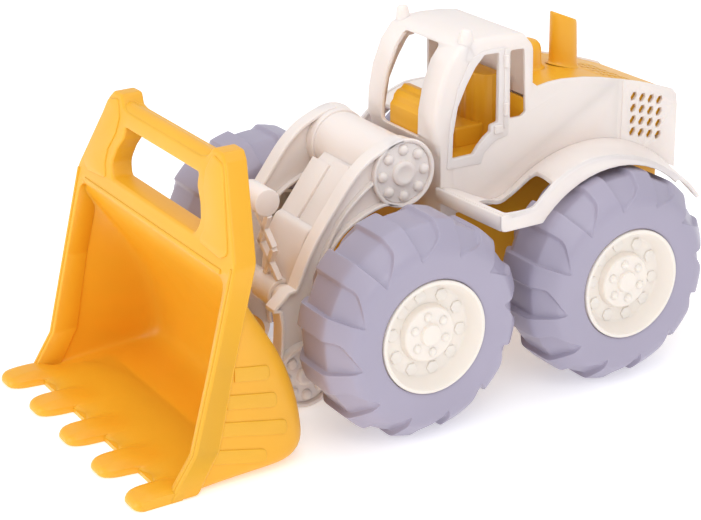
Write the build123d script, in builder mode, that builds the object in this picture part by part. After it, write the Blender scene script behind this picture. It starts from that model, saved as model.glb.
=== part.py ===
from build123d import *
import math
import os

os.makedirs("parts", exist_ok=True)

# Toy front loader, millimetres.
# +X points forward to the bucket, +Y to the loader's left, +Z up.
# The origin is on the ground, at the middle of the overall length and width.

# ---- driving dimensions ----
half_length = 237.0
tyre_radius = 75.0
tyre_width = 65.0
wheel_mid_y = 101.5
front_axle_x = 32.0
rear_axle_x = -127.0
axle_z = tyre_radius
rim_radius = 38.5
axle_radius = 3.0
running_gap = 0.06

wall = 2.6
body_half = 44.0
body_inner = body_half - wall
lug_count = 12
bolt_count = 10
cap_stud_count = 6
pivot_stud_count = 8

boom_pivot = (1.0, 155.0)
bucket_pivot = (80.0, 28.0)
hub_radius = 24.0
drum_radius = 21.0
arm_inner = 38.0
arm_web_y = 42.0
arm_outer = 50.0
lower_disc_radius = 23.0

bucket_half = 115.0
bucket_wall = 3.0
tooth_count = 5
tooth_pitch = 51.3

left_and_right = (1, -1)


def side_plane(y):
    """A sketch plane across the loader: local x is forward, local y is up, extruding towards -Y."""
    return Plane(origin=(0, y, 0), x_dir=(1, 0, 0), z_dir=(0, -1, 0))


def on_circle(centre, radius, degrees):
    angle = math.radians(degrees)
    return (centre[0] + radius * math.cos(angle), centre[1] + radius * math.sin(angle))


def finish(builder, name):
    """Labels a finished piece and writes it to its own file."""
    builder.part.label = name
    export_step(builder.part, f"parts/{name}.step")


# ---- wheels: tyre, rim, hub cap ----
# Each is turned about its axle. Profiles are (distance from the wheel's middle plane, radius).
half_tread = tyre_width / 2
carcass_radius = 70.5
crown_half = 13.5
shoulder_radius = 60.5
tyre_wall = 2.0
lug_arc = 22.0
rim_wall = 2.2
disc_face = 21.0
disc_back = 18.0
cone_inner_radius = 31.0
cone_outer_radius = 35.8
hub_tube_radius = 8.0
hub_tube_end = -33.4
nut_pocket_floor = 15.6
nut_pocket_radius = 7.0
bolt_circle = 26.0
cap_radius = 18.6
cap_face = 26.0


def wheel_plane(x, side):
    """Local x is the wheel's outward direction, local y is up, through the wheel's middle."""
    return Plane(origin=(x, side * wheel_mid_y, axle_z), x_dir=(0, side, 0), z_dir=(side, 0, 0))


def face_plane(x, side, outward):
    """A sketch plane that faces outwards, this far out from the wheel's middle plane."""
    origin = (x, side * (wheel_mid_y + outward), axle_z)
    return Plane(origin=origin, x_dir=(1, 0, 0), z_dir=(0, side, 0))


wheel_places = {
    "front_left": (front_axle_x, 1),
    "front_right": (front_axle_x, -1),
    "rear_left": (rear_axle_x, 1),
    "rear_right": (rear_axle_x, -1),
}

bead_radius = rim_radius + 0.1
carcass_outer = [
    (-half_tread, bead_radius),
    (-half_tread, shoulder_radius - 2),
    (-crown_half, carcass_radius),
    (crown_half, carcass_radius),
    (half_tread, shoulder_radius - 2),
    (half_tread, bead_radius),
]
carcass_inner = [
    (half_tread - tyre_wall, bead_radius),
    (half_tread - tyre_wall, shoulder_radius - 4),
    (crown_half - 1, carcass_radius - tyre_wall),
    (-crown_half + 1, carcass_radius - tyre_wall),
    (-half_tread + tyre_wall, shoulder_radius - 4),
    (-half_tread + tyre_wall, bead_radius),
]
lug_outline = [
    (-half_tread, shoulder_radius - 3),
    (-half_tread, shoulder_radius),
    (-crown_half, tyre_radius),
    (crown_half, tyre_radius),
    (half_tread, shoulder_radius),
    (half_tread, shoulder_radius - 3),
    (crown_half, carcass_radius - 1.5),
    (-crown_half, carcass_radius - 1.5),
]
rim_outline = [
    (half_tread, rim_radius),
    (-half_tread + 1, rim_radius),
    (-half_tread + 1, rim_radius - rim_wall),
    (disc_back - 2, rim_radius - rim_wall),
    (disc_back - 2, hub_tube_radius),
    (hub_tube_end, hub_tube_radius),
    (hub_tube_end, axle_radius + running_gap),
    (nut_pocket_floor, axle_radius + running_gap),
    (nut_pocket_floor, nut_pocket_radius),
    (disc_face, nut_pocket_radius),
    (disc_face, cone_inner_radius),
    (half_tread, cone_outer_radius),
]
cap_outline = [
    (disc_face, cap_radius),
    (cap_face - 1.5, cap_radius - 0.6),
    (cap_face, cap_radius - 2),
    (cap_face, 7.6),
    (cap_face + 2.3, 6.6),
    (cap_face + 2.3, 0),
    (cap_face - 1.8, 0),
    (cap_face - 1.8, cap_radius - 3),
    (disc_face, cap_radius - 3),
]

for corner, (wheel_x, side) in wheel_places.items():
    section = wheel_plane(wheel_x, side)
    spin_axis = Axis((wheel_x, side * wheel_mid_y, axle_z), (0, side, 0))

    with BuildPart() as tyre:
        with BuildSketch(section):
            with BuildLine():
                Polyline(*carcass_outer, *carcass_inner, close=True)
            make_face()
        revolve(axis=spin_axis)
        for lug in range(lug_count):
            turn = 360.0 / lug_count * lug - lug_arc / 2
            with BuildSketch(section):
                with BuildLine():
                    Polyline(*lug_outline, close=True)
                make_face()
            lug_solid = revolve(axis=spin_axis, revolution_arc=lug_arc, mode=Mode.PRIVATE)
            add(lug_solid.rotate(spin_axis, turn))
    finish(tyre, f"tyre_{corner}")

    with BuildPart() as rim:
        with BuildSketch(section):
            with BuildLine():
                Polyline(*rim_outline, close=True)
            make_face()
        revolve(axis=spin_axis)
        with BuildSketch(face_plane(wheel_x, side, disc_face)):
            with PolarLocations(bolt_circle, bolt_count):
                RegularPolygon(radius=4.4, side_count=6)
        extrude(amount=1.0)
    finish(rim, f"rim_{corner}")

    with BuildPart() as hub_cap:
        with BuildSketch(section):
            with BuildLine():
                Polyline(*cap_outline, close=True)
            make_face()
        revolve(axis=spin_axis)
        with BuildSketch(face_plane(wheel_x, side, cap_face)):
            with PolarLocations(12.6, cap_stud_count):
                Circle(2.7)
        extrude(amount=1.8, taper=12)
    finish(hub_cap, f"hub_cap_{corner}")

# ---- axles and the push nuts on their ends ----
axle_half = wheel_mid_y + disc_face - 1.5
nut_thickness = 1.5
for name, axle_x in (("front", front_axle_x), ("rear", rear_axle_x)):
    with BuildPart() as axle:
        with BuildSketch(Plane(origin=(axle_x, -axle_half, axle_z), z_dir=(0, 1, 0))):
            Circle(axle_radius)
        extrude(amount=2 * axle_half)
        chamfer(axle.edges(), length=0.5)
    finish(axle, f"{name}_axle")

    with BuildPart() as push_nuts:
        for side in left_and_right:
            with BuildSketch(face_plane(axle_x, side, nut_pocket_floor + 0.4)):
                Circle(5.6)
                Circle(axle_radius, mode=Mode.SUBTRACT)
            extrude(amount=nut_thickness)
    finish(push_nuts, f"{name}_push_nuts")

# ---- chassis: inverted tub, axle tubes, boom pivot tongue and screw bosses ----
tub_wall = 3.0
tub_bottom = 60.0
tub_rear_half = 36.0
tub_front_half = 29.0
tub_rear_top = 126.0
tub_front_top = 110.0
tub_rear_x = -226.0
tub_step_x = -46.0
tub_front_x = 47.0
axle_tube_radius = 8.0
tongue_half = 9.0
tongue_boss_radius = 13.0
screw_places = [(-205.0, 29.0), (-205.0, -29.0), (-66.0, 29.0), (-66.0, -29.0)]
boss_radius = 5.0
screw_radius = 1.6

tub_profile = [
    (tub_rear_x, tub_bottom),
    (tub_rear_x, tub_rear_top),
    (tub_step_x, tub_rear_top),
    (tub_step_x, tub_bottom),
]
nose_profile = [
    (tub_step_x - 1, tub_bottom),
    (tub_step_x - 1, tub_front_top),
    (tub_front_x - 14, tub_front_top),
    (tub_front_x, tub_front_top - 18),
    (tub_front_x, tub_bottom + 12),
    (tub_front_x - 14, tub_bottom),
]
tongue_profile = [
    (-22.0, tub_front_top - tub_wall),
    (-8.0, 134.0),
    (boom_pivot[0] - tongue_boss_radius + 0.5, boom_pivot[1]),
    (boom_pivot[0] + tongue_boss_radius - 0.5, boom_pivot[1]),
    (9.0, 134.0),
    (18.0, tub_front_top - tub_wall),
]

with BuildPart() as chassis:
    with BuildSketch(side_plane(tub_rear_half)):
        with BuildLine():
            Polyline(*tub_profile, close=True)
        make_face()
    extrude(amount=2 * tub_rear_half)
    with BuildSketch(side_plane(tub_front_half)):
        with BuildLine():
            Polyline(*nose_profile, close=True)
        make_face()
    extrude(amount=2 * tub_front_half)
    underside = chassis.faces().filter_by(Axis.Z).group_by(Axis.Z)[0]
    offset(amount=-tub_wall, openings=underside)
    for axle_x in (front_axle_x, rear_axle_x):
        with BuildSketch(side_plane(wheel_mid_y - half_tread - 2)):
            with Locations((axle_x, axle_z)):
                Circle(axle_tube_radius)
        extrude(amount=2 * (wheel_mid_y - half_tread - 2))
    with BuildSketch(side_plane(tongue_half)):
        with BuildLine():
            Polyline(*tongue_profile, close=True)
        make_face()
        with Locations(boom_pivot):
            Circle(tongue_boss_radius)
    extrude(amount=2 * tongue_half)
    with BuildSketch(Plane.XY.offset(tub_bottom + 4)):
        with Locations(*screw_places):
            Circle(boss_radius)
    extrude(amount=tub_rear_top - tub_bottom - 5)
    for axle_x in (front_axle_x, rear_axle_x):
        with BuildSketch(side_plane(wheel_mid_y)):
            with Locations((axle_x, axle_z)):
                Circle(axle_radius)
        extrude(amount=2 * wheel_mid_y, mode=Mode.SUBTRACT)
    with BuildSketch(side_plane(tongue_half + 1)):
        with Locations(boom_pivot):
            Circle(axle_radius)
    extrude(amount=2 * tongue_half + 2, mode=Mode.SUBTRACT)
    with BuildSketch(Plane.XY.offset(tub_bottom)):
        with Locations(*screw_places):
            Circle(screw_radius + 0.4)
    extrude(amount=tub_rear_top - tub_bottom + 1, mode=Mode.SUBTRACT)
finish(chassis, "chassis_frame")

with BuildPart() as boom_rod:
    with BuildSketch(side_plane(arm_web_y + 3)):
        with Locations(boom_pivot):
            Circle(axle_radius)
    extrude(amount=2 * (arm_web_y + 3))
finish(boom_rod, "boom_pivot_rod")

# ---- body shell: cab, engine cover sides and rear fenders in one moulding ----
roof_top = 235.0
cab_rear_x = -107.0
cab_front_low = -31.5
sill_z = 166.0
hood_points = [(-109, 194), (-133, 196), (-152, 194.2), (-185, 187), (-223, 175.5), (-233, 172), (-half_length, 166)]
body_outline = [
    (cab_front_low, 114),
    (cab_front_low, 158),
    (-27.5, sill_z),
    (-27.5, 187),
    (-31, 204),
    (-38, 221),
    (-48, 232),
    (-60, roof_top + 1),
    (-84, roof_top),
    (cab_rear_x + 5, roof_top - 2),
    (cab_rear_x, roof_top - 7),
    (cab_rear_x, 196),
    *hood_points,
    (-half_length, 112),
    (-205, 135),
    (-180, 143),
    (-156, 147.7),
    (-134, 145.5),
    (-111, 138),
    (-98, 129),
    (-86, 119.5),
    (-68, 116),
    (-46, 116),
    (-44, 114),
]
cavity_outline = [
    (cab_front_low - wall, 100),
    (cab_front_low - wall, 158),
    (-27.5 - wall, sill_z),
    (-27.5 - wall, 187),
    (-31 - wall, 203),
    (-38 - wall, 219),
    (-49 - wall, 229.5),
    (-62, roof_top - wall),
    (cab_rear_x + 6, roof_top - wall - 2),
    (cab_rear_x + wall, roof_top - wall - 6),
    (cab_rear_x + wall, 186),
]
hood_cavity_outline = [
    (-150, 100),
    (cab_rear_x + wall, 100),
    (cab_rear_x + wall, 187),
    (cab_rear_x - 2, 187),
    (cab_rear_x - 2, 215),
    (-half_length + wall, 215),
    (-half_length + wall, 100),
]
door_window = [
    (-40.7, 155.3),
    (-58.1, 155.5),
    (-61.7, 160.4),
    (-67.2, 165.8),
    (-71.8, 168.9),
    (-72.3, 173.6),
    (-78.3, 174.9),
    (-78.5, 223.8),
    (-66.6, 224.1),
    (-59.4, 216.8),
    (-52.2, 205.6),
    (-45.1, 191.2),
    (-41.5, 172.9),
]
quarter_window = [(-88.0, 175.4), (-88.0, 223.6), (-100.0, 223.4), (-101.4, 179.0), (-98.0, 175.4)]
windscreen = [(-22.5, 166.5), (22.5, 166.5), (22.0, 229.0), (-22.0, 229.0)]
vent_pitch = (-7.85, 8.8)
vent_start = (-196.5, 146.4)
vent_drop = 0.3
vent_size = 2.9
vent_rows = 4
lamp_base = (-55.0, 36.5)
post_height = 22.0

# The fender sheet runs from the body side to a lip outside the tyre's middle.
fender_outer_y = 112.0
fender_clear_radius = 78.0
sheet_height = 3.4
crease_centre = (-156.0, 42.7)
crease_radius = 105.0
rear_wheel = (rear_axle_x, axle_z)
fender_steps = 9

inner_path = [(-28.5, 147.0), (-50.0, 131.5), (-68.0, 119.5)]
inner_path += [on_circle(crease_centre, crease_radius, 49 + 88 * k / fender_steps) for k in range(fender_steps + 1)]
outer_path = [(-34.5, 139.0), (-47.0, 138.4)]
outer_path += [
    on_circle(rear_wheel, 95 - 13 * min(1.0, k / 7), 42 + 99 * k / fender_steps) for k in range(fender_steps + 1)
]
outer_path += [(-203.5, 114.5)]


def sheet_section(path):
    """A closed strip of even height hanging below the path."""
    return path + [(x, z - sheet_height) for x, z in reversed(path)]


lip_steps = 8
lip_width = 2.5
lip_lower = [on_circle(rear_wheel, fender_clear_radius, 42 + 92 * k / lip_steps) for k in range(lip_steps + 1)]
lip_outline = outer_path[:-1] + lip_lower[::-1] + [(-66.0, 125.5), (-34.5, 127.0)]
front_edge_inner = [(-31.0, 147.0), (-28.5, 147.0), (-28.5, 133.0), (-31.0, 133.0)]
front_edge_outer = [(-37.0, 139.0), (-34.5, 139.0), (-34.5, 127.0), (-37.0, 127.0)]
fender_window = [(-52, 74), (-46, 104), (-60, 106), (-77, 105), (-106, 56), (-98, 50), (-80, 50)]

with BuildPart() as body_shell:
    with BuildSketch(side_plane(body_half)):
        with BuildLine():
            Polyline(*body_outline, close=True)
        make_face()
    extrude(amount=2 * body_half)
    roof_edges = body_shell.edges().filter_by(lambda e: e.center().Z > 214).filter_by(lambda e: abs(e.center().Y) > 43)
    fillet(roof_edges.filter_by(lambda e: e.center().X > cab_rear_x), radius=5.0)
    for outline in (cavity_outline + [(cab_rear_x + wall, 100)], hood_cavity_outline):
        with BuildSketch(side_plane(body_inner)):
            with BuildLine():
                Polyline(*outline, close=True)
            make_face()
        extrude(amount=2 * body_inner, mode=Mode.SUBTRACT)
    with BuildSketch(side_plane(body_half + 1)):
        for outline in (door_window, quarter_window):
            with BuildLine():
                Polyline(*outline, close=True)
            make_face()
        for row in range(vent_rows):
            for column in range(vent_rows):
                at = (
                    vent_start[0] + vent_pitch[0] * column,
                    vent_start[1] + vent_pitch[1] * row + vent_drop * vent_pitch[0] * column,
                )
                with Locations(at):
                    RegularPolygon(radius=vent_size, side_count=6, rotation=30)
    extrude(amount=2 * body_half + 2, mode=Mode.SUBTRACT)
    with BuildSketch(Plane.YZ.offset(-20)):
        with BuildLine():
            Polyline(*windscreen, close=True)
        make_face()
    extrude(amount=-32, mode=Mode.SUBTRACT)
    for side in left_and_right:
        with BuildSketch(Plane(origin=(lamp_base[0], side * lamp_base[1], 226))):
            Circle(7.0)
        with BuildSketch(Plane(origin=(lamp_base[0], side * (lamp_base[1] + 1.5), 243))):
            Circle(4.0)
        loft()
        for inner_line, outer_line in (
            (sheet_section(inner_path), sheet_section(outer_path)),
            (front_edge_inner, front_edge_outer),
        ):
            with BuildSketch(side_plane(side * (body_half - 1))):
                with BuildLine():
                    Polyline(*inner_line, close=True)
                make_face()
            with BuildSketch(side_plane(side * fender_outer_y)):
                with BuildLine():
                    Polyline(*outer_line, close=True)
                make_face()
            loft(ruled=True)
        lip_start = fender_outer_y if side > 0 else lip_width - fender_outer_y
        with BuildSketch(side_plane(lip_start)):
            with BuildLine():
                Polyline(*lip_outline, close=True)
            make_face()
        extrude(amount=lip_width)
        with BuildSketch(Plane.XY.offset(100)):
            with BuildLine():
                Polyline(*[(x, side * y) for x, y in fender_window], close=True)
            make_face()
        extrude(amount=75, mode=Mode.SUBTRACT)
    with BuildSketch(Plane.XY.offset(tub_rear_top)):
        with Locations(*screw_places):
            Circle(boss_radius)
    extrude(amount=post_height)
    with BuildSketch(Plane.XY.offset(137)):
        for x, y in screw_places:
            with Locations((x, math.copysign(37, y))):
                Rectangle(3, 12)
    extrude(amount=tub_rear_top + post_height - 137)
    with BuildSketch(Plane.XY.offset(tub_rear_top)):
        with Locations(*screw_places):
            Circle(screw_radius)
    extrude(amount=12, mode=Mode.SUBTRACT)
finish(body_shell, "body_shell")

# ---- pieces set into the body: engine cover, exhaust, air cleaner, cab interior, seat, screws ----
cover_drop = 4.0
cover_thickness = 3.0
cover_points = [(-109.0, 190.0)] + [(x, z - cover_drop) for x, z in hood_points[1:5]] + [(-234.4, 167.0)]
louvre_angle = -18.0

with BuildPart() as engine_hood:
    with BuildSketch(side_plane(body_inner)):
        with BuildLine():
            Polyline(*cover_points, *[(x, z - cover_thickness) for x, z in cover_points[::-1]], close=True)
        make_face()
    extrude(amount=2 * body_inner)
    with BuildSketch(Plane(origin=(-190, 14, 160))):
        with GridLocations(5.4, 16, 4, 3):
            SlotOverall(12, 2.2, rotation=90 + louvre_angle)
    extrude(amount=40, mode=Mode.SUBTRACT)
finish(engine_hood, "engine_hood")

below_cover = [*cover_points, (cover_points[-1][0], 150), (cover_points[0][0], 150)]
exhaust_x = -166.0
exhaust_size = (11.0, 8.5)
exhaust_wall = 2.6
exhaust_top = [(-190, 217), (-178, 222), (-152, 233), (-140, 238), (-140, 250), (-190, 250)]
with BuildPart() as exhaust:
    with BuildSketch(Plane(origin=(exhaust_x, 0, 180))):
        Ellipse(*exhaust_size)
    extrude(amount=58, taper=0.8)
    with BuildSketch(Plane(origin=(exhaust_x, 0, 200))):
        Ellipse(exhaust_size[0] - exhaust_wall, exhaust_size[1] - exhaust_wall)
    extrude(amount=50, mode=Mode.SUBTRACT)
    with BuildSketch(side_plane(20)):
        for outline in (exhaust_top, below_cover):
            with BuildLine():
                Polyline(*outline, close=True)
            make_face()
    extrude(amount=40, mode=Mode.SUBTRACT)
finish(exhaust, "exhaust_stack")

cleaner_x = -132.0
with BuildPart() as air_cleaner:
    with BuildSketch(Plane(origin=(cleaner_x, 0, 186))):
        Circle(12)
    extrude(amount=26)
    top_edge = air_cleaner.edges().filter_by(GeomType.CIRCLE).sort_by(Axis.Z)[-1]
    fillet(top_edge, radius=6)
    with BuildSketch(side_plane(20)):
        with BuildLine():
            Polyline(*below_cover, close=True)
        make_face()
    extrude(amount=40, mode=Mode.SUBTRACT)
finish(air_cleaner, "air_cleaner")

floor_top = 152.0
floor_thickness = 3.0
dash_outline = [
    (-46, floor_top - 1),
    (-46, 178),
    (-51, 180),
    (-51, 190),
    (-47, 193),
    (-42, 192.5),
    (-36, 188),
    (-31, 182),
    (-31, sill_z + 0.5),
    (-34.4, 158),
    (-34.4, floor_top - 1),
]
with BuildPart() as cab_interior:
    with BuildSketch(Plane(origin=(-69.3, 0, floor_top - floor_thickness))):
        Rectangle(69.8, 2 * body_inner)
    extrude(amount=floor_thickness)
    with BuildSketch(Plane(origin=(-102.9, 0, floor_top - 1))):
        Rectangle(3, 2 * body_inner)
    extrude(amount=36)
    with BuildSketch(side_plane(20)):
        with BuildLine():
            Polyline(*dash_outline, close=True)
        make_face()
    extrude(amount=40)
finish(cab_interior, "cab_interior")

with BuildPart() as seat:
    with BuildSketch(side_plane(14)):
        with BuildLine():
            Polyline(
                (-97, floor_top),
                (-62, floor_top),
                (-60, 162),
                (-64, 166),
                (-86, 165),
                (-88, 172),
                (-88, 202),
                (-92, 205),
                (-96, 202),
                close=True,
            )
        make_face()
    extrude(amount=28)
    fillet(seat.edges().filter_by(Axis.Y), radius=1.5)
finish(seat, "seat")

with BuildPart() as screws:
    with BuildSketch(Plane.XY.offset(tub_bottom + 1.5)):
        with Locations(*screw_places):
            Circle(3.4)
    extrude(amount=2.5)
    with BuildSketch(Plane.XY.offset(tub_bottom + 4)):
        with Locations(*screw_places):
            Circle(screw_radius - 0.02)
    extrude(amount=tub_rear_top - tub_bottom + 7)
finish(screws, "body_screws")

# ---- boom: drum, two arms, apron with planks, cross box and cross tube in one moulding ----
boom_bore = axle_radius + running_gap
disc_face_y = arm_web_y + 4.0
upper_arm = [
    (1, 178.8),
    (17, 175),
    (30, 170.5),
    (42, 159),
    (56, 140),
    (66, 127.5),
    (73, 117),
    (80, 104),
    (88, 85),
    (97, 66),
    (102, 43),
    (102, 28),
    (58, 28),
    (58, 62),
    (61, 98),
    (55, 114),
    (36, 128),
    (15, 134),
    (1, 131.4),
]
plank_half = 20.0
apron_outline = [(8, 173), (17.6, 168), (58, 117), (54.8, 114.6), (15.5, 164.5)]
box_outline = [(55, 119), (61, 116), (70, 99), (73, 78), (62, 74), (52, 100)]
cross_tube = (76.0, 72.0)
cross_tube_radius = 8.0
link_ring_radius = 11.0
lattice_half = 12.0
tongue_gap = 2.5
cavity_radius = 16.0
lower_ring_face = 52.0

with BuildPart() as boom:
    with BuildSketch(side_plane(arm_web_y + 1)):
        with Locations(boom_pivot):
            Circle(drum_radius)
    extrude(amount=2 * arm_web_y + 2)
    with BuildSketch(side_plane(plank_half)):
        with BuildLine():
            Polyline(*apron_outline, close=True)
        make_face()
    extrude(amount=2 * plank_half)
    with BuildSketch(side_plane(22)):
        with BuildLine():
            Polyline(*box_outline, close=True)
        make_face()
    extrude(amount=44)
    with BuildSketch(side_plane(arm_web_y + 1)):
        with Locations(cross_tube):
            Circle(cross_tube_radius)
    extrude(amount=2 * arm_web_y + 2)
    with BuildSketch(side_plane(lattice_half + 0.1)):
        with Locations(cross_tube):
            Circle(link_ring_radius + 0.1)
            Circle(cross_tube_radius, mode=Mode.SUBTRACT)
    extrude(amount=2 * lattice_half + 0.2, mode=Mode.SUBTRACT)
    for side in left_and_right:
        outer_y = arm_outer if side > 0 else -arm_inner
        web_y = arm_web_y + 3 if side > 0 else -arm_web_y
        plate_y = disc_face_y if side > 0 else -arm_web_y
        hub_ring_y = arm_outer if side > 0 else -arm_web_y
        low_ring_y = lower_ring_face if side > 0 else -arm_web_y
        with BuildSketch(side_plane(outer_y)):
            with BuildLine():
                Polyline(*upper_arm, close=True)
            make_face()
            offset(amount=-2.6, kind=Kind.INTERSECTION, mode=Mode.SUBTRACT)
            with Locations(boom_pivot):
                Circle(hub_radius - 1, mode=Mode.SUBTRACT)
            with Locations(bucket_pivot):
                Circle(lower_disc_radius - 1, mode=Mode.SUBTRACT)
        extrude(amount=arm_outer - arm_inner)
        with BuildSketch(side_plane(web_y)):
            with BuildLine():
                Polyline(*upper_arm, close=True)
            make_face()
        extrude(amount=3)
        with BuildSketch(side_plane(plate_y)):
            with Locations(boom_pivot):
                Circle(hub_radius)
            with Locations(bucket_pivot):
                Circle(lower_disc_radius)
        extrude(amount=disc_face_y - arm_web_y)
        with BuildSketch(side_plane(hub_ring_y)):
            with Locations(boom_pivot):
                Circle(hub_radius)
                Circle(hub_radius - 3, mode=Mode.SUBTRACT)
        extrude(amount=arm_outer - arm_web_y)
        with BuildSketch(side_plane(low_ring_y)):
            with Locations(bucket_pivot):
                Circle(lower_disc_radius)
                Circle(lower_disc_radius - 3, mode=Mode.SUBTRACT)
        extrude(amount=lower_ring_face - arm_web_y)
    with BuildSketch(side_plane(tongue_half + tongue_gap)):
        with BuildLine():
            Polyline(
                boom_pivot,
                on_circle(boom_pivot, 2 * cavity_radius, 168),
                on_circle(boom_pivot, 2 * cavity_radius, 242),
                on_circle(boom_pivot, 2 * cavity_radius, 308),
                close=True,
            )
        make_face()
        with Locations(boom_pivot):
            Circle(cavity_radius)
    extrude(amount=2 * (tongue_half + tongue_gap), mode=Mode.SUBTRACT)
    with BuildSketch(side_plane(arm_outer + 3)):
        with Locations(boom_pivot):
            Circle(boom_bore)
        with Locations(bucket_pivot):
            Circle(axle_radius)
    extrude(amount=2 * arm_outer + 6, mode=Mode.SUBTRACT)
finish(boom, "boom")

with BuildPart() as bucket_rod:
    with BuildSketch(side_plane(disc_face_y - 1)):
        with Locations(bucket_pivot):
            Circle(axle_radius)
    extrude(amount=2 * (disc_face_y - 1))
finish(bucket_rod, "bucket_pivot_rod")

stud_height = 2.6
cap_kinds = (
    ("boom_pivot_cap", boom_pivot, hub_radius - 3, 2.0, 16.0, 8.7),
    ("bucket_pivot_cap", bucket_pivot, lower_disc_radius - 3, 3.0, 15.0, 7.0),
)
for kind, centre, radius, thickness, stud_circle, boss in cap_kinds:
    for side_name, side in (("left", 1), ("right", -1)):
        cap_plane = Plane(origin=(centre[0], side * disc_face_y, centre[1]), x_dir=(1, 0, 0), z_dir=(0, side, 0))
        with BuildPart() as cap:
            with BuildSketch(cap_plane):
                Circle(radius)
            extrude(amount=thickness)
            with BuildSketch(cap_plane.offset(thickness)):
                with PolarLocations(stud_circle, pivot_stud_count):
                    Circle(3.6)
                Circle(boss)
            extrude(amount=stud_height, taper=15)
        finish(cap, f"{kind}_{side_name}")

# ---- tilt link: a barrel on a lattice plate that stands on the cross tube ----
barrel = (85.0, 140.0)
link_length = math.hypot(barrel[0] - cross_tube[0], barrel[1] - cross_tube[1])
link_normal = ((barrel[1] - cross_tube[1]) / link_length, 0, -(barrel[0] - cross_tube[0]) / link_length)

with BuildPart() as tilt_link:
    with BuildSketch(side_plane(lattice_half + 1)):
        with Locations(barrel):
            Circle(9)
    extrude(amount=2 * lattice_half + 2)
    with BuildSketch(Plane(origin=(cross_tube[0], 0, cross_tube[1]), x_dir=(0, 1, 0), z_dir=link_normal)):
        with Locations((0, link_length / 2)):
            Rectangle(2 * lattice_half, link_length - 17)
            for cell in (-1, 1):
                with Locations((0, cell * 12)):
                    Rectangle(2 * lattice_half - 8, 20, mode=Mode.SUBTRACT)
                    Rectangle(4, 27, rotation=36)
                    Rectangle(4, 27, rotation=-36)
    extrude(amount=2.5, both=True)
    with BuildSketch(side_plane(lattice_half)):
        with Locations(cross_tube):
            Circle(link_ring_radius)
            Circle(cross_tube_radius, mode=Mode.SUBTRACT)
    extrude(amount=2 * lattice_half)
finish(tilt_link, "tilt_link")

# ---- bucket: open shell, handle frame, finger teeth and pivot ears ----
bucket_outline = [
    (213, 0),
    (140, 0),
    (124, 4),
    (114.5, 15),
    (113, 28),
    (115, 45),
    (120, 63),
    (131, 82),
    (144, 104),
    (151, 128),
    (152, 148),
    (164, 148),
    (181, 83),
    (196, 28),
    (213, 5),
]
bucket_cavity = [
    (235, 3),
    (142, 3),
    (126.5, 7),
    (117.5, 17),
    (116, 29),
    (118, 44.5),
    (123, 61),
    (134, 80.5),
    (147, 103),
    (154, 126),
    (157, 136),
    (170, 138),
    (235, 138),
]
frame_lean = math.radians(13.4)
frame_thickness = 12.0
frame_outline = [(-93, -4), (-84, 55), (-77, 60.6), (-62, 60.6), (-55, 55), (55, 55), (62, 60.6), (77, 60.6), (84, 55), (93, -4)]
grip_opening = [(-53, 153.5), (-43, 184), (43, 184), (53, 153.5)]
tooth_profile = [(204, 0), (half_length, 1.5), (half_length, 5), (214, 8), (204, 4)]
tooth_width = 27.0
ear_outer = 37.6
ear_thickness = 7.0
ear_radius = 13.0
ear_outline = [(81, 15), (121, 8), (115.5, 18), (114.5, 30), (116.5, 46), (119.5, 56), (79, 41)]

with BuildPart() as bucket:
    with BuildSketch(side_plane(bucket_half)):
        with BuildLine():
            Polyline(*bucket_outline, close=True)
        make_face()
    extrude(amount=2 * bucket_half)
    with BuildSketch(side_plane(bucket_half - bucket_wall)):
        with BuildLine():
            Polyline(*bucket_cavity, close=True)
        make_face()
    extrude(amount=2 * (bucket_half - bucket_wall), mode=Mode.SUBTRACT)
    frame_plane = Plane(
        origin=(164, 0, 147),
        x_dir=(0, 1, 0),
        z_dir=(math.cos(frame_lean), 0, math.sin(frame_lean)),
    )
    with BuildSketch(frame_plane):
        with BuildLine():
            Polyline(*frame_outline, close=True)
        make_face()
    extrude(amount=-frame_thickness)
    with BuildSketch(Plane.YZ.offset(120)):
        with BuildLine():
            Polyline(*grip_opening, close=True)
        make_face()
    extrude(amount=60, mode=Mode.SUBTRACT)
    for tooth in range(tooth_count):
        middle = (tooth - (tooth_count - 1) / 2) * tooth_pitch
        with BuildSketch(side_plane(middle + tooth_width / 2)):
            with BuildLine():
                Polyline(*tooth_profile, close=True)
            make_face()
        extrude(amount=tooth_width)
    for ear_y in (ear_outer, ear_thickness - ear_outer):
        with BuildSketch(side_plane(ear_y)):
            with BuildLine():
                Polyline(*ear_outline, close=True)
            make_face()
            with Locations(bucket_pivot):
                Circle(ear_radius)
        extrude(amount=ear_thickness)
    with BuildSketch(side_plane(ear_outer + 1)):
        with Locations(bucket_pivot):
            Circle(boom_bore)
    extrude(amount=2 * ear_outer + 2, mode=Mode.SUBTRACT)
finish(bucket, "bucket")
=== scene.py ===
import math
from contextlib import contextmanager

import bmesh
import bpy
from mathutils import Matrix, Vector

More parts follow.
